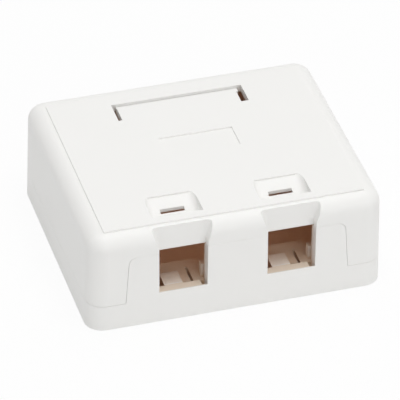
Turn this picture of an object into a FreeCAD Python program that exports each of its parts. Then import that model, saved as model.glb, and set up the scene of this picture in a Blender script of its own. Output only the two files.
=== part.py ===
import FreeCAD, Part
import os

import Sketcher
from FreeCAD import Placement, Vector

# Two-port surface mount jack box: a base with the ports' front panel, a lift-off cover and two
# foam pads. Millimetres, +Z up, +X to the right of someone facing the ports, front at -Y.
# The origin is the middle of the underside. Lengths "from the front" run back from the foot of
# the front face, and lengths "up" rise from the underside.

SIZES = [
    # the outer form, shared by the base and the cover
    ("box_width", 91.4, "overall width at the foot"),
    ("box_depth", 77.0, "overall depth at the foot"),
    ("box_height", 32.9, "overall height, to the raised top panel"),
    ("draft_angle", 1.0, "lean of the four sides, degrees"),
    ("corner_radius", 5.6, "upright corners in plan"),
    ("edge_radius", 4.9, "rounding between the sides and the top"),
    # the raised panel on the top
    ("panel_step", 0.45, "height of the raised panel above the rounding"),
    ("panel_side_inset", 5.8, "raised panel's side edges from the foot"),
    ("panel_front_inset", 4.4, "raised panel's front edge from the foot"),
    ("panel_back_inset", 6.6, "raised panel's back edge from the foot"),
    # the parting line between the base and the cover
    ("seam_height", 8.5, "height of the base's rim"),
    ("seam_gap", 0.1, "width of the parting line"),
    ("head_gap", 0.04, "gap over the front panel's top edge, where the cover rests"),
    ("slip_gap", 0.3, "clearance behind the parting line"),
    ("lip_thickness", 0.9, "tongue on the base's rim"),
    ("lip_height", 2.0, "tongue above the rim"),
    ("base_wall", 2.2, "base side walls at the foot"),
    ("base_floor", 2.2, "base floor"),
    ("cover_wall", 2.0, "cover walls and top"),
    ("inner_radius", 2.6, "cover's walls to the underside of its top"),
    # the base's front panel, which stands up between the cover's front corners
    ("front_thickness", 3.05, "front panel's inside face from the foot"),
    ("front_foot_inset", 11.45, "front panel's side at the rim, from the foot of the box's side"),
    ("front_head_inset", 12.6, "front panel's side at its top edge, from the same"),
    ("front_top", 24.6, "front panel's top edge, up"),
    ("front_corner", 2.5, "front panel's top corners"),
    # the ports
    ("port_pitch", 33.3, "distance between the two ports' centres"),
    ("port_width", 15.0, "port opening at its top"),
    ("port_foot_width", 14.8, "port opening at its sill"),
    ("port_sill", 10.5, "sill of the port opening, up"),
    ("port_top", 26.1, "top of the port opening in the front face, up"),
    # the notch above each port, cut back to an upright face
    ("notch_depth", 3.45, "notch's upright face from the foot of the front"),
    ("notch_foot_width", 15.1, "notch where it meets the port opening"),
    ("notch_head_width", 19.2, "notch at the level of the top"),
    ("notch_corner", 1.0, "rounding between the notch's face and its sides"),
    ("notch_wall", 1.8, "wall behind the notch"),
    ("notch_wall_foot", 23.7, "lower edge of that wall, up"),
    # the latch scoop above each port, and the slit in its floor
    ("scoop_width", 15.6, "scoop, side to side"),
    ("scoop_back", 17.2, "scoop's back edge from the front"),
    ("scoop_front", 7.2, "scoop's front edge from the front"),
    ("scoop_back_depth", 0.5, "scoop's depth at its back edge"),
    ("scoop_depth", 3.1, "scoop's depth at the front"),
    ("scoop_flat", 4.3, "level stretch of the scoop's floor"),
    ("scoop_floor_wall", 1.1, "wall under the scoop"),
    ("scoop_fillet", 2.3, "scoop's floor to its side walls"),
    ("slit_length", 7.4, "latch slit, side to side"),
    ("slit_width", 1.4, "latch slit, front to back"),
    ("slit_back", 13.45, "latch slit's back edge from the front"),
    # the release tab at the back of the top
    ("tab_opening_half", 20.6, "half width of the opening that frees the tab"),
    ("tab_inset", 11.2, "back edge of that opening from the foot of the back"),
    ("tab_groove", 2.1, "groove behind the tab"),
    ("tab_slot_length", 8.5, "slots beside the tab, from the opening's back edge"),
    ("tab_left_slot", 1.2, "slot on the tab's left"),
    ("tab_right_slot", 2.4, "slot on the tab's right"),
    ("tab_leg_width", 12.0, "latch leg under the tab"),
    ("tab_leg_thickness", 1.5, "latch leg, front to back"),
    ("tab_leg_length", 5.0, "latch leg below the top's inside face"),
    ("catch_half", 19.2, "half width of the catch wall on the base"),
    ("catch_drop", 0.95, "catch wall's top below the box's top"),
    ("catch_arch_half", 9.0, "half width of the cable arch in that wall"),
    ("catch_arch_top", 13.4, "top of the arch, up"),
    # the bare label recess on the top
    ("label_width", 23.0, "label recess, side to side"),
    ("label_length", 9.2, "label recess, front to back"),
    ("label_offset", 2.3, "label recess's centre behind the box's centre"),
    ("label_depth", 0.5, "label recess"),
    # the jack cradle behind each port
    ("cradle_length", 12.5, "cradle behind the front panel"),
    ("cradle_level", 9.0, "cradle's floor, up"),
    ("cradle_left", 4.95, "cradle's left side from the port's centre"),
    ("cradle_right", 8.6, "cradle's right side from the port's centre"),
    ("rest_width", 5.6, "raised rest on the cradle"),
    ("rest_length", 6.0, "raised rest, front to back"),
    ("groove_offset", 4.1, "cradle's groove from the port's centre"),
    ("groove_width", 0.8, "groove in the cradle"),
    ("groove_length", 8.8, "groove behind the front panel"),
    ("groove_foot_length", 3.2, "groove's foot along the front panel, from the groove's middle"),
    ("groove_foot_width", 2.0, "groove's foot, front to back"),
    ("nick_offset", 6.65, "nick in the sill from the port's centre"),
    ("nick_width", 1.7, "nick in the sill, side to side"),
    ("nick_front", 0.6, "nick's front end from the front"),
    ("nick_back", 4.4, "nick's back end from the front"),
    ("nick_depth", 3.0, "nick below the sill"),
    ("cheek_thickness", 1.5, "cheeks that carry on the port's sides"),
    ("cheek_length", 1.5, "cheeks behind the front panel"),
    ("cheek_top", 23.2, "top of the cheeks, up"),
    ("guide_reach", 0.5, "how far the guide on the cradle's right stands into the port's width"),
    ("guide_offset", 3.0, "guide's front end behind the front panel"),
    ("guide_length", 2.0, "guide, front to back"),
    ("guide_top", 13.7, "top of the guide, up"),
    # cable ways, fixing slots and tie bars
    ("rear_entry_width", 16.0, "cable entry in the back wall"),
    ("rear_entry_sill", 3.6, "bottom of that entry, up"),
    ("rear_entry_top", 12.6, "top of that entry, up"),
    ("floor_entry_width", 24.0, "cable entry in the floor, side to side"),
    ("floor_entry_length", 10.0, "cable entry in the floor, front to back"),
    ("floor_entry_offset", 2.5, "that entry's centre behind the box's centre"),
    ("fixing_spacing", 50.0, "distance between the two fixing slots"),
    ("fixing_offset", 2.5, "fixing slots' line behind the box's centre"),
    ("fixing_width", 4.4, "fixing slot, for a 4 mm screw"),
    ("fixing_length", 9.0, "fixing slot, end to end"),
    ("tie_spacing", 34.0, "distance between the two cable tie bars"),
    ("tie_inset", 20.0, "tie bars' line from the foot of the back"),
    ("tie_width", 8.0, "tie bar, side to side"),
    ("tie_thickness", 4.0, "tie bar, front to back"),
    ("tie_height", 5.2, "tie bar above the floor"),
    ("tie_hole_width", 4.6, "way for the tie under its bar"),
    ("tie_hole_height", 3.2, "height of that way"),
    # the foam pads in the underside
    ("pad_width", 10.0, "foam pad, side to side"),
    ("pad_end_inset", 10.5, "foam pad's ends from the foot of the front and of the back"),
    ("pad_thickness", 0.8, "foam pad, flush with the underside"),
    ("pad_side_inset", 4.6, "pad's outer edge from the foot of the side"),
    ("pad_clearance", 0.2, "recess around the pad"),
    ("overshoot", 2.0, "how far a cut runs past the face that it opens"),
    ("embed", 1.0, "how far an added form reaches into the wall that carries it"),
]

doc = FreeCAD.newDocument("surface_mount_jack_box")
sheet = doc.addObject("Spreadsheet::Sheet", "sizes")
for row, (alias, size, meaning) in enumerate(SIZES, start=1):
    sheet.set(f"A{row}", alias)
    sheet.set(f"B{row}", str(size))
    sheet.setAlias(f"B{row}", alias)
    sheet.set(f"C{row}", meaning)
doc.recompute()

ALIASES = {alias for alias, _, _ in SIZES}


def formula(text):
    """Write a formula in size names as an expression on the sheet's cells."""
    words = []
    word = ""
    for letter in text + " ":
        if letter.isalnum() or letter == "_":
            word += letter
            continue
        words.append("sizes." + word if word in ALIASES else word)
        words.append(letter)
        word = ""
    return "".join(words).strip()


def amount(text):
    """The value of a formula, as a plain number."""
    value = sheet.evalExpression(formula(text))
    return float(getattr(value, "Value", value))


def add_body(label):
    body = doc.addObject("PartDesign::Body", label)
    body.Label = label
    body.Placement = Placement()
    return body


def add_sketch(body, name, plane, offset="0"):
    """A sketch on one of its body's origin planes, moved along the plane's normal."""
    sketch = body.newObject("Sketcher::SketchObject", name)
    for feature in body.Origin.OriginFeatures:
        if feature.Role == plane:
            sketch.AttachmentSupport = [(feature, "")]
    sketch.MapMode = "FlatFace"
    if offset != "0":
        sketch.setExpression("AttachmentOffset.Base.z", formula(offset))
    return sketch


def corner_arc(start, end, radius):
    """A quarter turn to the left from one point to another."""
    half = (end - start) / 2
    centre = start + half + Vector(-half.y, half.x, 0)
    middle = centre + (start + half - centre).normalize() * radius
    return Part.ArcOfCircle(start, middle, end)


def add_outline(sketch, points, radius=None):
    """A closed outline whose points are tied to pairs of formulas.

    With a radius, every second piece is a quarter turn; otherwise all are straight.
    """
    corners = [Vector(amount(x), amount(y), 0) for x, y in points]
    first = sketch.GeometryCount
    for index, (here, there) in enumerate(zip(corners, corners[1:] + corners[:1])):
        if radius is not None and index % 2 == 1:
            arc = sketch.addGeometry(corner_arc(here, there, amount(radius)), False)
            number = sketch.addConstraint(Sketcher.Constraint("Radius", arc, amount(radius)))
            sketch.setExpression(f"Constraints[{number}]", formula(radius))
        else:
            sketch.addGeometry(Part.LineSegment(here, there), False)
    count = len(points)
    for index in range(count):
        line = first + index
        following = first + (index + 1) % count
        sketch.addConstraint(Sketcher.Constraint("Coincident", line, 2, following, 1))
    for index, (x, y) in enumerate(points):
        for kind, text in (("DistanceX", x), ("DistanceY", y)):
            size = amount(text)
            constraint = Sketcher.Constraint(kind, -1, 1, first + index, 1, size)
            number = sketch.addConstraint(constraint)
            sketch.setExpression(f"Constraints[{number}]", formula(text))


def rectangle(left, right, low, high):
    """Corner formulas of a rectangle."""
    return [(left, low), (right, low), (right, high), (left, high)]


def add_inset_outline(sketch, inset):
    """The box's rounded outline at the foot, moved inwards by a formula."""
    left = f"0 - box_width / 2 + {inset}"
    right = f"box_width / 2 - {inset}"
    radius = f"(corner_radius - {inset})"
    add_rounded_rectangle(sketch, left, right, f"{FRONT} + {inset}", f"{BACK} - {inset}", radius)


def add_rounded_rectangle(sketch, left, right, front, back, radius):
    """A rectangle with all four corners rounded, from formulas."""
    add_outline(sketch, [
        (f"{left} + {radius}", front),
        (f"{right} - {radius}", front),
        (right, f"{front} + {radius}"),
        (right, f"{back} - {radius}"),
        (f"{right} - {radius}", back),
        (f"{left} + {radius}", back),
        (left, f"{back} - {radius}"),
        (left, f"{front} + {radius}"),
    ], radius)


def finish_feature(feature, base_volume, grows):
    """Recompute, and make sure that the feature did change the solid as it should."""
    doc.recompute()
    change = feature.Shape.Volume - base_volume
    if (change <= 0) == grows:
        raise RuntimeError(f"{feature.Name} changed the solid by {change:.3f} mm3")
    return feature


def volume_of(body):
    return body.Shape.Volume if body.Tip is not None else 0.0


def add_pad(body, sketch, length, reverse=False, midplane=False):
    before = volume_of(body)
    pad = body.newObject("PartDesign::Pad", sketch.Name + "_pad")
    pad.Profile = sketch
    pad.setExpression("Length", formula(length))
    pad.Reversed = reverse
    pad.Midplane = midplane
    return finish_feature(pad, before, True)


def add_pocket(body, sketch, length, reverse=False, midplane=False):
    before = volume_of(body)
    pocket = body.newObject("PartDesign::Pocket", sketch.Name + "_cut")
    pocket.Profile = sketch
    pocket.setExpression("Length", formula(length))
    pocket.Reversed = reverse
    pocket.Midplane = midplane
    return finish_feature(pocket, before, False)


def cut_between(body, name, lower, upper):
    """Take away the form that runs straight from one outline to another."""
    before = volume_of(body)
    loft = body.newObject("PartDesign::SubtractiveLoft", name)
    loft.Profile = lower
    loft.Sections = [upper]
    loft.Ruled = True
    return finish_feature(loft, before, False)


def add_fillet(body, name, radius, wanted):
    """Round the edges of the body's last feature that pass a test."""
    base = body.Tip
    names = [f"Edge{n}" for n, edge in enumerate(base.Shape.Edges, start=1) if wanted(edge)]
    if not names:
        raise RuntimeError(f"{name} finds no edge")
    fillet = body.newObject("PartDesign::Fillet", name)
    fillet.Base = (base, names)
    fillet.setExpression("Radius", formula(radius))
    doc.recompute()
    if fillet.Shape.isNull():
        raise RuntimeError(f"{name}: {fillet.getStatusString()}")
    return fillet


# Two places closer than this, in mm, count as the same.
SLACK = 0.02
# An edge counts as upright when it rises this many times further than it runs sideways.
STEEP = 4
# A fillet of exactly half a slot's width fails, so its ends are rounded by nearly that.
NEARLY_HALF = 0.4995


def low(edge, axis):
    return getattr(edge.BoundBox, axis + "Min")


def high(edge, axis):
    return getattr(edge.BoundBox, axis + "Max")


def near(a, b):
    return abs(a - b) < SLACK


def flat_at(edge, axis, place):
    """Whether the whole edge lies at one value of X, Y or Z."""
    return near(low(edge, axis), place) and near(high(edge, axis), place)


def upright(edge):
    """Whether the edge is straight and rises steeply."""
    box = edge.BoundBox
    sideways = max(box.XLength, box.YLength)
    return edge.Curve.TypeId == "Part::GeomLine" and box.ZLength > STEEP * sideways


# Places along Y as formulas: the foot of the front face and of the back face.
FRONT = "(0 - box_depth / 2)"
BACK = "(box_depth / 2)"
# How far the sides have leaned in at the top of the rounding.
TOP_LEVEL = "(box_height - panel_step)"
TOP_LEAN = f"({TOP_LEVEL} * tan(draft_angle * 1 deg))"
CEILING = f"({TOP_LEVEL} - cover_wall)"
PORTS = ((-1, "left"), (1, "right"))
# Half the width of the front panel at the rim and at its top edge.
FOOT_HALF = "(box_width / 2 - front_foot_inset)"
HEAD_HALF = "(box_width / 2 - front_head_inset)"


def port_centre(side):
    return f"({side} * port_pitch / 2)"


def lean_sides(body):
    """Lean the four sides of the body's block inwards above its foot."""
    block = body.Tip
    sides = [f"Face{n}" for n, face in enumerate(block.Shape.Faces, start=1)
             if not near(face.BoundBox.ZLength, 0)]
    draft = body.newObject("PartDesign::Draft", body.Name + "_draft")
    draft.Base = (block, sides)
    draft.setExpression("Angle", formula("draft_angle"))
    for feature in body.Origin.OriginFeatures:
        if feature.Role == "XY_Plane":
            draft.NeutralPlane = (feature, [""])
    return finish_feature(draft, block.Shape.Volume, False)


def outer_form(body, height):
    """The drafted block with rounded upright corners, up to a height."""
    sketch = add_sketch(body, body.Name + "_foot", "XY_Plane")
    add_outline(sketch, rectangle("0 - box_width / 2", "box_width / 2", FRONT, BACK))
    add_pad(body, sketch, height)
    lean_sides(body)
    add_fillet(body, body.Name + "_upright_corners", "corner_radius", upright)


def make_base():
    """Tray with the ports' front panel, the jack cradles, cable ways and fixing slots."""
    body = add_body("base")
    outer_form(body, "front_top")

    behind = add_sketch(body, "behind_front_panel", "YZ_Plane")
    add_outline(behind, rectangle(
        f"{FRONT} + front_thickness", f"{BACK} + overshoot", "seam_height", "front_top + overshoot"))
    add_pocket(body, behind, "box_width + overshoot", midplane=True)

    for side, name in PORTS:
        beside = add_sketch(body, f"beside_front_panel_{name}", "XZ_Plane", f"0 - {FRONT} + overshoot")
        add_outline(beside, [
            (f"{side} * {FOOT_HALF}", "seam_height"),
            (f"{side} * (box_width / 2 + overshoot)", "seam_height"),
            (f"{side} * (box_width / 2 + overshoot)", "front_top + overshoot"),
            (f"{side} * {HEAD_HALF}", "front_top + overshoot"),
            (f"{side} * {HEAD_HALF}", "front_top"),
        ])
        add_pocket(body, beside, "front_thickness + 2 * overshoot")

    head = amount("front_top")
    half_head = amount(HEAD_HALF)
    add_fillet(body, "front_panel_corners", "front_corner",
               lambda edge: flat_at(edge, "Z", head) and near(abs(low(edge, "X")), half_head)
               and near(low(edge, "X"), high(edge, "X")))

    inside = add_sketch(body, "base_inside", "XY_Plane", "base_floor")
    add_inset_outline(inside, "base_wall")
    add_pocket(body, inside, "seam_height - base_floor", reverse=True)
    front = add_sketch(body, "front_panel_inside", "XY_Plane")
    add_outline(front, rectangle(
        f"0 - {HEAD_HALF}", HEAD_HALF, f"{FRONT} + embed", f"{FRONT} + front_thickness"))
    add_pad(body, front, "seam_height")

    tongue = add_sketch(body, "rim_tongue", "XY_Plane", "seam_height")
    add_inset_outline(tongue, "(base_wall - lip_thickness)")
    add_inset_outline(tongue, "base_wall")
    add_pad(body, tongue, "lip_height")

    for side, name in PORTS:
        add_port_opening(body, name, side)
        add_cradle(body, name, side)

    add_cable_ways(body)
    add_tie_bars(body)
    add_catch_wall(body)
    add_pad_recesses(body)
    return body


def add_port_opening(body, name, side):
    """The opening in the front panel, open at the top where the cover closes it."""
    centre = port_centre(side)
    opening = add_sketch(body, f"{name}_port_opening", "XZ_Plane", f"0 - {FRONT} + overshoot")
    slope = "((port_width - port_foot_width) / 2 / (port_top - port_sill))"
    flare = f"(port_width / 2 + {slope} * (front_top + overshoot - port_top))"
    add_outline(opening, [
        (f"{centre} - port_foot_width / 2", "port_sill"),
        (f"{centre} + port_foot_width / 2", "port_sill"),
        (f"{centre} + {flare}", "front_top + overshoot"),
        (f"{centre} - {flare}", "front_top + overshoot"),
    ])
    add_pocket(body, opening, "front_thickness + 2 * overshoot")


def add_cradle(body, name, side):
    """The ledge that a jack sits on behind its opening, with a rest, a groove and two cheeks."""
    centre = port_centre(side)
    wall = f"{FRONT} + front_thickness"
    ledge = add_sketch(body, f"{name}_cradle", "XY_Plane", "base_floor")
    add_outline(ledge, rectangle(
        f"{centre} - cradle_left", f"{centre} + cradle_right", wall, f"{wall} + cradle_length"))
    add_pad(body, ledge, "cradle_level - base_floor")

    rest = add_sketch(body, f"{name}_jack_rest", "XY_Plane", "cradle_level")
    add_outline(rest, rectangle(
        f"{centre} - cradle_left", f"{centre} - cradle_left + rest_width",
        wall, f"{wall} + rest_length"))
    add_pad(body, rest, "port_sill - cradle_level")

    cheeks = add_sketch(body, f"{name}_cheeks", "XY_Plane", "base_floor")
    for hand in (-1, 1):
        inner = f"{centre} + {hand} * port_width / 2"
        add_outline(cheeks, rectangle(
            inner, f"{inner} + {hand} * cheek_thickness", wall, f"{wall} + cheek_length"))
    add_pad(body, cheeks, "cheek_top - base_floor")

    guide = add_sketch(body, f"{name}_guide", "XY_Plane", "base_floor")
    add_outline(guide, rectangle(
        f"{centre} + port_width / 2 - guide_reach", f"{centre} + cradle_right",
        f"{wall} + guide_offset", f"{wall} + guide_offset + guide_length"))
    add_pad(body, guide, "guide_top - base_floor")

    groove = add_sketch(body, f"{name}_cradle_groove", "XY_Plane", "base_floor")
    left = f"{centre} + groove_offset - groove_width / 2"
    right = f"{centre} + groove_offset + groove_width / 2"
    foot = f"{centre} + groove_offset - groove_foot_length"
    add_outline(groove, [
        (foot, wall),
        (right, wall),
        (right, f"{wall} + groove_length"),
        (left, f"{wall} + groove_length"),
        (left, f"{wall} + groove_foot_width"),
        (foot, f"{wall} + groove_foot_width"),
    ])
    add_pocket(body, groove, "cradle_level - base_floor", reverse=True)

    nick = add_sketch(body, f"{name}_sill_nick", "XY_Plane", "port_sill")
    add_outline(nick, rectangle(
        f"{centre} + nick_offset - nick_width / 2", f"{centre} + nick_offset + nick_width / 2",
        f"{FRONT} + nick_front", f"{FRONT} + nick_back"))
    add_pocket(body, nick, "nick_depth")


def add_cable_ways(body):
    """The entry in the back wall, the entry in the floor and the two fixing slots."""
    rear = add_sketch(body, "rear_cable_entry", "XZ_Plane", f"0 - {BACK} - overshoot")
    add_outline(rear, rectangle(
        "0 - rear_entry_width / 2", "rear_entry_width / 2",
        "rear_entry_sill", "seam_height + lip_height + overshoot"))
    add_pocket(body, rear, "base_wall + 2 * overshoot", reverse=True)

    floor = add_sketch(body, "floor_cable_entry", "XY_Plane")
    add_outline(floor, rectangle(
        "0 - floor_entry_width / 2", "floor_entry_width / 2",
        "floor_entry_offset - floor_entry_length / 2", "floor_entry_offset + floor_entry_length / 2"))
    add_pocket(body, floor, "base_floor", reverse=True)

    slots = add_sketch(body, "fixing_slots", "XY_Plane")
    for side in (-1, 1):
        middle = f"({side} * fixing_spacing / 2)"
        add_outline(slots, rectangle(
            f"{middle} - fixing_length / 2", f"{middle} + fixing_length / 2",
            "fixing_offset - fixing_width / 2", "fixing_offset + fixing_width / 2"))
    add_pocket(body, slots, "base_floor", reverse=True)
    centre = amount("fixing_offset")
    reach = amount("fixing_width") / 2
    ends = amount("fixing_spacing / 2 + fixing_length / 2")
    add_fillet(body, "fixing_slot_ends", f"fixing_width * {NEARLY_HALF}",
               lambda edge: near(edge.BoundBox.ZLength, amount("base_floor"))
               and near(abs(low(edge, "Y") - centre), reach) and abs(low(edge, "X")) < ends + SLACK)


def add_tie_bars(body):
    """Two bridges on the floor that a cable tie is threaded under."""
    bars = add_sketch(body, "tie_bars", "XY_Plane", "base_floor")
    line = f"({BACK} - tie_inset)"
    ways = add_sketch(body, "tie_ways", "XZ_Plane", f"0 - {line}")
    for side in (-1, 1):
        middle = f"({side} * tie_spacing / 2)"
        add_outline(bars, rectangle(
            f"{middle} - tie_width / 2", f"{middle} + tie_width / 2",
            f"{line} - tie_thickness / 2", f"{line} + tie_thickness / 2"))
        add_outline(ways, rectangle(
            f"{middle} - tie_hole_width / 2", f"{middle} + tie_hole_width / 2",
            "base_floor", "base_floor + tie_hole_height"))
    add_pad(body, bars, "tie_height")
    add_pocket(body, ways, "tie_thickness + overshoot", midplane=True)


def add_catch_wall(body):
    """The wall that stands up into the groove behind the release tab, over a cable arch."""
    back = f"({BACK} - tab_inset - seam_gap)"
    front = f"({BACK} - tab_inset - tab_groove + slip_gap)"
    wall = add_sketch(body, "catch_wall", "XY_Plane", "base_floor")
    add_outline(wall, rectangle("0 - catch_half", "catch_half", front, back))
    add_pad(body, wall, "box_height - catch_drop - base_floor")

    arch = add_sketch(body, "cable_arch", "XZ_Plane", f"0 - {back} - overshoot")
    add_outline(arch, rectangle("0 - catch_arch_half", "catch_arch_half", "base_floor", "catch_arch_top"))
    add_pocket(body, arch, "tab_groove + 2 * overshoot", reverse=True)


def pad_edges():
    """Inner and outer X of the right pad, and its front and back Y, as formulas."""
    outer = "(box_width / 2 - pad_side_inset)"
    return f"({outer} - pad_width)", outer, f"({FRONT} + pad_end_inset)", f"({BACK} - pad_end_inset)"


def add_pad_recesses(body):
    """Shallow recesses for the foam pads in the underside."""
    inner, outer, front, back = pad_edges()
    recesses = add_sketch(body, "pad_recesses", "XY_Plane")
    for side in (-1, 1):
        add_outline(recesses, rectangle(
            f"{side} * ({inner} - pad_clearance)", f"{side} * ({outer} + pad_clearance)",
            f"{front} - pad_clearance", f"{back} + pad_clearance"))
    add_pocket(body, recesses, "pad_thickness", reverse=True)


def make_cover():
    """Upper shell with the raised top, the notches, scoops and slits, and the release tab."""
    body = add_body("cover")
    outer_form(body, TOP_LEVEL)
    top = amount(TOP_LEVEL)
    add_fillet(body, "top_rounding", "edge_radius", lambda edge: flat_at(edge, "Z", top))

    panel = add_sketch(body, "raised_panel", "XY_Plane", f"{TOP_LEVEL} - embed")
    add_outline(panel, rectangle(
        "0 - box_width / 2 + panel_side_inset", "box_width / 2 - panel_side_inset",
        f"{FRONT} + panel_front_inset", f"{BACK} - panel_back_inset"))
    add_pad(body, panel, "panel_step + embed")

    inside = add_sketch(body, "cover_inside", "XY_Plane")
    lean = f"({TOP_LEAN} + cover_wall)"
    add_inset_outline(inside, lean)
    add_pocket(body, inside, CEILING, reverse=True)
    ceiling = amount(CEILING)
    add_fillet(body, "cover_inside_rounding", "inner_radius", lambda edge: flat_at(edge, "Z", ceiling))

    for side, name in PORTS:
        add_hood(body, name, side)

    add_lower_cuts(body)
    for side, name in PORTS:
        add_notch(body, name, side)
        add_scoop(body, name, side)

    add_release_tab(body)
    add_label_recess(body)

    rear = add_sketch(body, "cover_rear_entry", "XZ_Plane", f"0 - {BACK} - overshoot")
    add_outline(rear, rectangle(
        "0 - rear_entry_width / 2", "rear_entry_width / 2", "seam_height", "rear_entry_top"))
    add_pocket(body, rear, f"{lean} + 2 * overshoot", reverse=True)
    return body


def add_hood(body, name, side):
    """Solid backing inside the cover, for the notch and the scoop to be cut into."""
    centre = port_centre(side)
    hood = add_sketch(body, f"{name}_hood", "YZ_Plane", centre)
    wall = f"{FRONT} + {TOP_LEAN} + embed"
    notch_back = f"{FRONT} + notch_depth + notch_wall"
    drop = f"({TOP_LEVEL} + panel_step - scoop_depth - scoop_floor_wall)"
    add_outline(hood, [
        (wall, "notch_wall_foot"),
        (notch_back, "notch_wall_foot"),
        (notch_back, drop),
        (f"{FRONT} + scoop_front + scoop_flat", drop),
        (f"{FRONT} + scoop_back", f"{drop} + scoop_depth - scoop_back_depth"),
        (f"{FRONT} + panel_front_inset", f"{drop} + scoop_depth - scoop_back_depth"),
        (wall, f"{TOP_LEVEL} - edge_radius"),
    ])
    add_pad(body, hood, "notch_head_width + 2 * notch_wall", midplane=True)


def add_lower_cuts(body):
    """Take away what the base fills: all below the rim, the tongue and the front panel."""
    below = add_sketch(body, "below_rim", "XY_Plane")
    add_outline(below, rectangle(
        "0 - box_width / 2 - overshoot", "box_width / 2 + overshoot",
        f"{FRONT} - overshoot", f"{BACK} + overshoot"))
    add_pocket(body, below, "seam_height + seam_gap", reverse=True)

    rebate = add_sketch(body, "rim_rebate", "XY_Plane", "seam_height")
    add_inset_outline(rebate, "(base_wall - lip_thickness - slip_gap)")
    add_pocket(body, rebate, "lip_height + slip_gap", reverse=True)

    panel = add_sketch(body, "front_panel_gap", "XZ_Plane", f"0 - {FRONT} + overshoot")
    half_foot = f"({FOOT_HALF} + seam_gap)"
    half_head = f"({HEAD_HALF} + seam_gap)"
    head = "(front_top + head_gap)"
    add_outline(panel, [
        (f"0 - {half_foot}", "seam_height"),
        (half_foot, "seam_height"),
        (half_head, head),
        (f"0 - {half_head}", head),
    ])
    add_pocket(body, panel, "front_thickness + slip_gap + overshoot")
    level = amount(head)
    corner = amount(half_head)
    add_fillet(body, "panel_gap_corners", "front_corner",
               lambda edge: flat_at(edge, "Z", level) and near(abs(low(edge, "X")), corner)
               and near(low(edge, "X"), high(edge, "X")))


def add_notch(body, name, side):
    """The port's top edge, and the notch above it, wider at the top and round in its corners."""
    centre = port_centre(side)
    edge = add_sketch(body, f"{name}_port_top", "XZ_Plane", f"0 - {FRONT} + overshoot")
    add_outline(edge, rectangle(
        f"{centre} - port_width / 2", f"{centre} + port_width / 2", "front_top - overshoot", "port_top"))
    add_pocket(body, edge, "notch_depth + overshoot")

    flare = "((notch_head_width - notch_foot_width) / (box_height - port_top))"
    widths = {
        "foot": ("port_top", "notch_foot_width"),
        "head": ("box_height + overshoot", f"(notch_head_width + {flare} * overshoot)"),
    }
    sections = []
    for end, (level, width) in widths.items():
        section = add_sketch(body, f"{name}_notch_{end}", "XY_Plane", level)
        add_rounded_rectangle(
            section, f"{centre} - {width} / 2", f"{centre} + {width} / 2",
            f"{FRONT} - overshoot", f"{FRONT} + notch_depth", "notch_corner")
        sections.append(section)
    cut_between(body, f"{name}_notch", *sections)


def add_scoop(body, name, side):
    """The latch scoop in the top, sloping down to a slit."""
    centre = port_centre(side)
    scoop = add_sketch(body, f"{name}_scoop", "YZ_Plane", centre)
    add_outline(scoop, [
        (f"{FRONT} + scoop_back", "box_height + overshoot"),
        (f"{FRONT} + scoop_back", "box_height - scoop_back_depth"),
        (f"{FRONT} + scoop_front + scoop_flat", "box_height - scoop_depth"),
        (f"{FRONT} + scoop_front", "box_height - scoop_depth"),
        (f"{FRONT} + scoop_front", "box_height + overshoot"),
    ])
    add_pocket(body, scoop, "scoop_width", midplane=True)
    middle = amount(centre)
    half = amount("scoop_width") / 2
    deep = amount("box_height - scoop_depth")
    floor = amount("box_height - scoop_back_depth")
    add_fillet(body, f"{name}_scoop_fillet", "scoop_fillet",
               lambda edge: near(abs(low(edge, "X") - middle), half)
               and near(low(edge, "X"), high(edge, "X"))
               and near(low(edge, "Z"), deep) and high(edge, "Z") < floor + SLACK)

    slit = add_sketch(body, f"{name}_slit", "XY_Plane", "box_height")
    add_outline(slit, rectangle(
        f"{centre} - slit_length / 2", f"{centre} + slit_length / 2",
        f"{FRONT} + slit_back - slit_width", f"{FRONT} + slit_back"))
    add_pocket(body, slit, "scoop_depth + scoop_floor_wall + overshoot")


def add_release_tab(body):
    """The tab that a groove and two slots free from the top, and the latch leg under it."""
    edge = f"{BACK} - tab_inset"
    opening = add_sketch(body, "tab_opening", "XY_Plane", "box_height")
    add_outline(opening, [
        ("0 - tab_opening_half", f"{edge} - tab_slot_length"),
        ("0 - tab_opening_half + tab_left_slot", f"{edge} - tab_slot_length"),
        ("0 - tab_opening_half + tab_left_slot", f"{edge} - tab_groove"),
        ("tab_opening_half - tab_right_slot", f"{edge} - tab_groove"),
        ("tab_opening_half - tab_right_slot", f"{edge} - tab_slot_length"),
        ("tab_opening_half", f"{edge} - tab_slot_length"),
        ("tab_opening_half", edge),
        ("0 - tab_opening_half", edge),
    ])
    add_pocket(body, opening, "cover_wall + panel_step + overshoot")

    leg = add_sketch(body, "latch_leg", "XY_Plane", f"{CEILING} + embed")
    back = f"{edge} - tab_groove"
    add_outline(leg, rectangle(
        "0 - tab_leg_width / 2", "tab_leg_width / 2", f"{back} - tab_leg_thickness", back))
    add_pad(body, leg, "tab_leg_length + embed", reverse=True)


def add_label_recess(body):
    """A bare shallow recess for a label."""
    recess = add_sketch(body, "label_recess", "XY_Plane", "box_height")
    add_outline(recess, rectangle(
        "0 - label_width / 2", "label_width / 2",
        "label_offset - label_length / 2", "label_offset + label_length / 2"))
    add_pocket(body, recess, "label_depth")


def make_foam_pad(label, side):
    """A strip of self-adhesive foam in its recess in the underside."""
    body = add_body(label)
    inner, outer, front, back = pad_edges()
    outline = add_sketch(body, f"{label}_outline", "XY_Plane")
    add_outline(outline, rectangle(f"{side} * {inner}", f"{side} * {outer}", front, back))
    add_pad(body, outline, "pad_thickness")
    return body


def check_document(nodes):
    """Stop if any feature failed or any piece isn't one sound solid."""
    for item in doc.Objects:
        if "Invalid" in item.State or "Error" in item.State:
            raise RuntimeError(f"{item.Name} failed: {item.State}")
    for node in nodes:
        shape = node.Shape
        if shape.isNull() or not shape.isValid() or len(shape.Solids) != 1:
            raise RuntimeError(f"{node.Label} isn't one valid solid")


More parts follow.
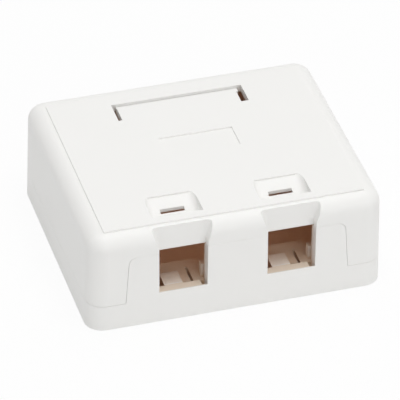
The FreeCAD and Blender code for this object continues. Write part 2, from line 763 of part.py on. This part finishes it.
nodes = [
    make_base(),
    make_cover(),
    make_foam_pad("foam_pad_left", -1),
    make_foam_pad("foam_pad_right", 1),
]
doc.recompute()
check_document(nodes)

os.makedirs("parts", exist_ok=True)
for node in nodes:
    node.Shape.exportStep(os.path.join("parts", node.Label + ".step"))
    print(node.Label, "volume", round(node.Shape.Volume, 1), "mm3", len(node.Shape.Faces), "faces")
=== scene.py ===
import math

import bpy
from mathutils import Matrix, Vector


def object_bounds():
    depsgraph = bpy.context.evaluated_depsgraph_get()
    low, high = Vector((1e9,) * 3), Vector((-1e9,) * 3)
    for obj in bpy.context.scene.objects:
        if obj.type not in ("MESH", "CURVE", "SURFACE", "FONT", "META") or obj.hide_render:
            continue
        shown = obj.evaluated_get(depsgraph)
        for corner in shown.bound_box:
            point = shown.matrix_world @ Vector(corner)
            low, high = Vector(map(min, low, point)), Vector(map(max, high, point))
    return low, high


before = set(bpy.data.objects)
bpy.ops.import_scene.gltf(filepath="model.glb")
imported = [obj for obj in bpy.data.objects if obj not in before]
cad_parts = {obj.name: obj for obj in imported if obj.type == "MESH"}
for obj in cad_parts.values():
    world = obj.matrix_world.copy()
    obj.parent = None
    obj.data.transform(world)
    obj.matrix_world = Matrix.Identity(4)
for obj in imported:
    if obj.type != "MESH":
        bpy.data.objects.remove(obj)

# The box stands on the floor with its ports facing -Y. Lengths are in metres, and MM turns
# millimetres into them.
cad_low, cad_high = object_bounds()
MM = 0.001

# ---------------------------------------------------------------- camera
AZIMUTH = math.radians(-17.143)
ELEVATION = math.radians(36.331)
ROLL = math.radians(0.969)
# Lens and sensor are in millimetres, as Blender takes them.
LENS = 355.5
SENSOR = 36.0
CAMERA_PLACE = Vector((-0.28427, -0.92080, 0.72116))
NEAREST_SEEN = 0.05
FARTHEST_SEEN = 20.0


def add_camera():
    """The camera, high in front and to the left, with a slight roll."""
    side = Vector((math.cos(AZIMUTH), math.sin(AZIMUTH), 0.0))
    back = Vector((
        math.sin(AZIMUTH) * math.cos(ELEVATION),
        -math.cos(AZIMUTH) * math.cos(ELEVATION),
        math.sin(ELEVATION),
    ))
    up = back.cross(side)
    rolled_side = math.cos(ROLL) * side + math.sin(ROLL) * up
    rolled_up = math.cos(ROLL) * up - math.sin(ROLL) * side
    data = bpy.data.cameras.new("camera")
    data.sensor_width = SENSOR
    data.lens = LENS
    data.clip_start = NEAREST_SEEN
    data.clip_end = FARTHEST_SEEN
    camera = bpy.data.objects.new("camera", data)
    bpy.context.scene.collection.objects.link(camera)
    turn = Matrix((rolled_side, rolled_up, back)).transposed()
    camera.matrix_world = Matrix.Translation(CAMERA_PLACE) @ turn.to_4x4()
    bpy.context.scene.camera = camera


# ---------------------------------------------------------------- nodes
def feed(tree, value, target):
    """Drive an input by a socket, or set it to a plain value."""
    if isinstance(value, bpy.types.NodeSocket):
        tree.links.new(value, target)
    else:
        target.default_value = value


def math_node(tree, operation, *values):
    """The result of a Math node on sockets or numbers."""
    node = tree.nodes.new("ShaderNodeMath")
    node.operation = operation
    for index, value in enumerate(values):
        feed(tree, value, node.inputs[index])
    return node.outputs[0]


def colour_mix(tree, blend, factor, first, second):
    """A blend of two colours, each a socket or a plain colour, by a factor."""
    node = tree.nodes.new("ShaderNodeMix")
    node.data_type = "RGBA"
    node.blend_type = blend
    feed(tree, factor, node.inputs["Factor"])
    feed(tree, first, node.inputs["A"])
    feed(tree, second, node.inputs["B"])
    return node.outputs["Result"]


def remap(tree, value, source, target):
    """A value carried from its source range over to a target range."""
    node = tree.nodes.new("ShaderNodeMapRange")
    feed(tree, value, node.inputs["Value"])
    names = ("From Min", "From Max", "To Min", "To Max")
    for name, end in zip(names, (*source, *target)):
        node.inputs[name].default_value = end
    return node.outputs["Result"]


def seen_directly(tree):
    """1 where a camera, mirror-like or see-through ray meets the material, else 0."""
    path = tree.nodes.new("ShaderNodeLightPath")
    either = math_node(tree, "MAXIMUM", path.outputs["Is Camera Ray"], path.outputs["Is Glossy Ray"])
    return math_node(tree, "MAXIMUM", either, path.outputs["Is Transmission Ray"])


# ---------------------------------------------------------------- floor and light
# How far the floor reaches from the middle, and how far below the underside it lies, so that
# the two aren't one surface.
FLOOR_REACH = 3.0
FLOOR_DROP = 0.2 * MM
FLOOR_COLOUR = (0.92, 0.92, 0.92, 1)
# The floor's own glow where it is seen; the rest of its brightness is the light that falls on it.
GLOW_SHARE = 0.90
# The room's brightness where it lights the object, and where it is seen.
ROOM_COLOUR = (1, 1, 1, 1)
ROOM_LIGHT = 0.49
ROOM_SEEN = 1.0
# Name, place, side length and power in watts of each studio lamp. They all aim at LAMP_AIM.
STUDIO_LAMPS = (
    ("top_light", (0.1, -0.25, 1.45), 0.9, 5.9),
    ("back_light", (0.1, 0.3, 1.4), 1.6, 5.6),
    ("front_light", (0.3, -1.5, 0.55), 1.2, 4.0),
)
STUDIO_WHITE = (1, 1, 1)
LAMP_AIM = (0, 0, 0.015)
# What the thin walls let through: a faint warm glow under the top, aimed straight down.
WALL_GLOW_PLACE = (0, -0.002, 0.029)
WALL_GLOW_AIM = (0, -0.002, 0)
WALL_GLOW_SIDE = 0.055
WALL_GLOW_POWER = 0.0012
WALL_GLOW_COLOUR = (1.0, 0.40, 0.17)


def floor_material():
    """White where it is seen, over a diffuse white that takes the object's shadow."""
    material = bpy.data.materials.new("floor_white")
    material.use_nodes = True
    tree = material.node_tree
    tree.nodes.clear()
    out = tree.nodes.new("ShaderNodeOutputMaterial")
    mix = tree.nodes.new("ShaderNodeMixShader")
    diffuse = tree.nodes.new("ShaderNodeBsdfDiffuse")
    diffuse.inputs["Color"].default_value = FLOOR_COLOUR
    glow = tree.nodes.new("ShaderNodeEmission")
    feed(tree, math_node(tree, "MULTIPLY", seen_directly(tree), GLOW_SHARE), mix.inputs[0])
    feed(tree, diffuse.outputs[0], mix.inputs[1])
    feed(tree, glow.outputs[0], mix.inputs[2])
    feed(tree, mix.outputs[0], out.inputs["Surface"])
    return material


def add_floor():
    """A plain white floor under the object."""
    mesh = bpy.data.meshes.new("floor")
    signs = ((-1, -1), (1, -1), (1, 1), (-1, 1))
    corners = [(x * FLOOR_REACH, y * FLOOR_REACH, 0) for x, y in signs]
    mesh.from_pydata(corners, [], [(0, 1, 2, 3)])
    mesh.materials.append(floor_material())
    floor = bpy.data.objects.new("floor", mesh)
    floor.location.z = cad_low.z - FLOOR_DROP
    bpy.context.scene.collection.objects.link(floor)


def add_world():
    """A pale even room: white where it is seen, softer where it lights."""
    world = bpy.data.worlds.new("studio")
    bpy.context.scene.world = world
    world.use_nodes = True
    tree = world.node_tree
    tree.nodes.clear()
    out = tree.nodes.new("ShaderNodeOutputWorld")
    background = tree.nodes.new("ShaderNodeBackground")
    background.inputs["Color"].default_value = ROOM_COLOUR
    strength = tree.nodes.new("ShaderNodeMix")
    feed(tree, seen_directly(tree), strength.inputs["Factor"])
    feed(tree, ROOM_LIGHT, strength.inputs["A"])
    feed(tree, ROOM_SEEN, strength.inputs["B"])
    feed(tree, strength.outputs["Result"], background.inputs["Strength"])
    feed(tree, background.outputs[0], out.inputs["Surface"])


def add_lamp(name, place, side, power, aim=LAMP_AIM, colour=STUDIO_WHITE):
    """A square lamp that faces its aim."""
    data = bpy.data.lights.new(name, "AREA")
    data.shape = "SQUARE"
    data.size = side
    data.energy = power
    data.color = colour
    lamp = bpy.data.objects.new(name, data)
    lamp.location = place
    lamp.rotation_mode = "QUATERNION"
    lamp.rotation_quaternion = (Vector(aim) - Vector(place)).to_track_quat("-Z", "Y")
    bpy.context.scene.collection.objects.link(lamp)


def add_lights():
    """Three soft studio lamps, and the glow inside the case."""
    for studio_lamp in STUDIO_LAMPS:
        add_lamp(*studio_lamp)
    add_lamp(
        "wall_glow",
        WALL_GLOW_PLACE,
        WALL_GLOW_SIDE,
        WALL_GLOW_POWER,
        WALL_GLOW_AIM,
        WALL_GLOW_COLOUR,
    )


# ---------------------------------------------------------------- inside the case: painted shade and warm light
# Painted shade and warm painted light inside the case: the walls inside are coloured darker and
# warmer than outside, standing in for light that bounces between them many times, and the jack
# cradles, just below the ports' sills, more so. The last is the painted colour that they have for
# the light that they pass on.
INSIDE_PAINTED_SHADE = (0.90, 0.80, 0.68)
CRADLE_PAINTED_SHADE = (0.84, 0.70, 0.54)
PAINTED_WARM_BOUNCE = (0.93, 0.68, 0.49)
# How far the painted shade inside keeps in from the part's outer faces: far enough to miss the
# outside, and near enough to take in the inner faces that the ports show.
SIDE_INSET = 2.1 * MM
FRONT_INSET = 3.6 * MM
BACK_INSET = 2.4 * MM
FLOOR_INSET = 2.0 * MM
TOP_INSET = 2.3 * MM
# Where the outside is rounded, from this far below the top up, the painted shade keeps further in:
# by
# SIDE_DRAW at the sides, and by END_DRAW at the front and the back.
STOREY_DEPTH = 5.5 * MM
SIDE_DRAW = 1.6 * MM
END_DRAW = 1.0 * MM
# The zone of the latch scoops, which counts as outside. It reaches past the part's sides and top.
SCOOP_LOW = (-50 * MM, -38 * MM, 28.7 * MM)
SCOOP_HIGH = (50 * MM, -20 * MM, 38.7 * MM)
# The opening of each port, between its jambs, which counts as inside: the distance between the
# ports' middles, then its width, its stretch behind the front, and its heights.
PORT_PITCH = 33.3 * MM
PORT_WIDTH = 14.6 * MM
PORT_STRETCH = (0.5 * MM, 3.35 * MM)
PORT_HEIGHTS = (9.95 * MM, 26.05 * MM)
# Height of the cradles' top, and how far above and below it their darker painted shade reaches.
CRADLE_LEVEL = 9.0 * MM
CRADLE_REACH = 0.8 * MM
# How far walls count as enclosing a place, the open shares of its surroundings between which
# the painted shade fades out, and how many rays measure them.
ENCLOSURE_REACH = 50 * MM
CLOSED_SHARE = 0.35
OPEN_SHARE = 0.60
ENCLOSURE_RAYS = 4


def storeys():
    """Low and high corners of the zone with painted shade inside: of its lower storey, then of its
    upper one.
    """
    low = (cad_low.x + SIDE_INSET, cad_low.y + FRONT_INSET, cad_low.z + FLOOR_INSET)
    high = (cad_high.x - SIDE_INSET, cad_high.y - BACK_INSET, cad_high.z - TOP_INSET)
    level = cad_high.z - STOREY_DEPTH
    upper_low = (low[0] + SIDE_DRAW, low[1] + END_DRAW, level)
    upper_high = (high[0] - SIDE_DRAW, high[1] - END_DRAW, high[2])
    return (low, (high[0], high[1], level)), (upper_low, upper_high)


def port_opening(side):
    """Low and high corners of a port's opening: side is -1 for the left port, 1 for the right."""
    left, right = (side * PORT_PITCH / 2 + half for half in (-PORT_WIDTH / 2, PORT_WIDTH / 2))
    near, far = (cad_low.y + depth for depth in PORT_STRETCH)
    bottom, top = (cad_low.z + height for height in PORT_HEIGHTS)
    return (left, near, bottom), (right, far, top)


def in_box(tree, axes, low, high):
    """1 where a point lies in an upright box, else 0."""
    tests = [
        math_node(tree, "COMPARE", axis, (start + end) / 2, (end - start) / 2)
        for axis, start, end in zip(axes, low, high)
    ]
    both = math_node(tree, "MULTIPLY", tests[0], tests[1])
    return math_node(tree, "MULTIPLY", both, tests[2])


def enclosed(tree):
    """1 where the closed case surrounds a place, and 0 where it lies open, as with the cover off."""
    # Ambient occlusion picks the places that take the painted shade.
    shade = tree.nodes.new("ShaderNodeAmbientOcclusion")
    shade.samples = ENCLOSURE_RAYS
    shade.inputs["Distance"].default_value = ENCLOSURE_REACH
    return remap(tree, shade.outputs["AO"], (CLOSED_SHARE, OPEN_SHARE), (1.0, 0.0))


def painted_shade_zone(tree, axes):
    """1 where shade is painted: on the walls round the case's inside, where light would bounce
    between them.
    """
    lower, upper = (in_box(tree, axes, *corners) for corners in storeys())
    case = math_node(tree, "MAXIMUM", lower, upper)
    scoops = in_box(tree, axes, SCOOP_LOW, SCOOP_HIGH)
    walls = math_node(tree, "SUBTRACT", case, math_node(tree, "MULTIPLY", case, scoops))
    inside = math_node(tree, "MULTIPLY", walls, enclosed(tree))
    for side in (-1, 1):
        port = in_box(tree, axes, *port_opening(side))
        inside = math_node(tree, "MAXIMUM", inside, port)
    return inside


def with_painted_inside_shade(tree, place, colour):
    """The colour as it is on the outside, with warm painted shade on the walls inside."""
    split = tree.nodes.new("ShaderNodeSeparateXYZ")
    feed(tree, place, split.inputs[0])
    axes = [split.outputs[name] for name in "XYZ"]
    at_cradles = math_node(tree, "COMPARE", axes[2], CRADLE_LEVEL, CRADLE_REACH)
    painted_shade = colour_mix(tree, "MIX", at_cradles, (*INSIDE_PAINTED_SHADE, 1), (*CRADLE_PAINTED_SHADE, 1))
    inside = painted_shade_zone(tree, axes)
    # Painted shade: the inside's colour darkened and warmed, the cradles more so.
    shaded_within = colour_mix(tree, "MULTIPLY", inside, colour, painted_shade)
    # Painted warm light: the walls inside pass on a warmer colour than they show.
    path = tree.nodes.new("ShaderNodeLightPath")
    painted_bounce_share = math_node(tree, "MULTIPLY", path.outputs["Is Diffuse Ray"], inside)
    return colour_mix(tree, "MIX", painted_bounce_share, shaded_within, (*PAINTED_WARM_BOUNCE, 1))


# ---------------------------------------------------------------- materials
# Scales are in features per metre, shades are the share of its colour that a surface keeps
# where it is darkest, and roughness and relief follow the same patterns.
WHITE = (0.90, 0.895, 0.875)
PLASTIC_IOR = 1.5
PLASTIC_ROUGHNESS = (0.42, 0.52)
MOTTLE_SCALE = 60.0
MOTTLE_DETAIL = 3.0
MOTTLE_SHADE = 0.985
GRAIN_SCALE = 2500.0
GRAIN_DETAIL = 2.0
GRAIN_STRENGTH = 0.06
GRAIN_DEPTH = 0.05 * MM
FOAM_GREY = (0.62, 0.62, 0.60)
FOAM_ROUGHNESS = (0.86, 0.96)
CELL_SCALE = 1400.0
CELL_SHADE = 0.85
CELL_STRENGTH = 0.4
CELL_DEPTH = 0.1 * MM


def new_material(name):
    """A material, its node tree, its shader, and the socket of places on the piece."""
    material = bpy.data.materials.new(name)
    material.use_nodes = True
    tree = material.node_tree
    place = tree.nodes.new("ShaderNodeTexCoord").outputs["Object"]
    return material, tree, tree.nodes["Principled BSDF"], place


def noise(tree, place, scale, detail):
    """A noise pattern from 0 to 1."""
    node = tree.nodes.new("ShaderNodeTexNoise")
    feed(tree, place, node.inputs["Vector"])
    node.inputs["Scale"].default_value = scale
    node.inputs["Detail"].default_value = detail
    return node.outputs["Fac"]


def cell_pattern(tree, place, scale):
    """A pattern of rounded cells, 0 at their middles."""
    node = tree.nodes.new("ShaderNodeTexVoronoi")
    feed(tree, place, node.inputs["Vector"])
    node.inputs["Scale"].default_value = scale
    return node.outputs["Distance"]


def uneven_colour(tree, pattern, colour, shade):
    """A colour that a pattern darkens where it is low."""
    darkest = [channel * shade for channel in colour]
    return colour_mix(tree, "MIX", pattern, (*darkest, 1), (*colour, 1))


def add_roughness(tree, shader, pattern, roughness):
    """Roughness that follows a pattern between two values."""
    feed(tree, remap(tree, pattern, (0.0, 1.0), roughness), shader.inputs["Roughness"])


def add_relief(tree, shader, pattern, strength, depth):
    """A fine relief that follows a pattern."""
    bump = tree.nodes.new("ShaderNodeBump")
    bump.inputs["Strength"].default_value = strength
    bump.inputs["Distance"].default_value = depth
    feed(tree, pattern, bump.inputs["Height"])
    feed(tree, bump.outputs["Normal"], shader.inputs["Normal"])


def plastic(name, colour):
    """Satin moulded plastic: a faint mottle, a fine grain and an uneven sheen."""
    material, tree, shader, place = new_material(name)
    shader.inputs["IOR"].default_value = PLASTIC_IOR
    mottle = noise(tree, place, MOTTLE_SCALE, MOTTLE_DETAIL)
    outside = uneven_colour(tree, mottle, colour, MOTTLE_SHADE)
    # The base colour carries painted shade and warm painted light on the walls inside.
    feed(tree, with_painted_inside_shade(tree, place, outside), shader.inputs["Base Color"])
    add_roughness(tree, shader, mottle, PLASTIC_ROUGHNESS)
    grain = noise(tree, place, GRAIN_SCALE, GRAIN_DETAIL)
    add_relief(tree, shader, grain, GRAIN_STRENGTH, GRAIN_DEPTH)
    return material


def foam(name, colour):
    """Matt closed-cell foam, pitted by its cells and slightly uneven in colour."""
    material, tree, shader, place = new_material(name)
    cells = cell_pattern(tree, place, CELL_SCALE)
    feed(tree, uneven_colour(tree, cells, colour, CELL_SHADE), shader.inputs["Base Color"])
    add_roughness(tree, shader, cells, FOAM_ROUGHNESS)
    add_relief(tree, shader, cells, CELL_STRENGTH, CELL_DEPTH)
    return material


def paint_nodes():
    """Give each CAD node its finished material."""
    finishes = {
        "base": plastic("base_white", WHITE),
        "cover": plastic("cover_white", WHITE),
        "foam_pad_left": foam("foam_grey", FOAM_GREY),
    }
    finishes["foam_pad_right"] = finishes["foam_pad_left"]
    for node, material in finishes.items():
        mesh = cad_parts[node].data
        for index in range(len(mesh.materials)):
            mesh.materials[index] = material


bpy.context.scene.view_settings.view_transform = "Standard"
add_camera()
add_floor()
add_world()
add_lights()
paint_nodes()
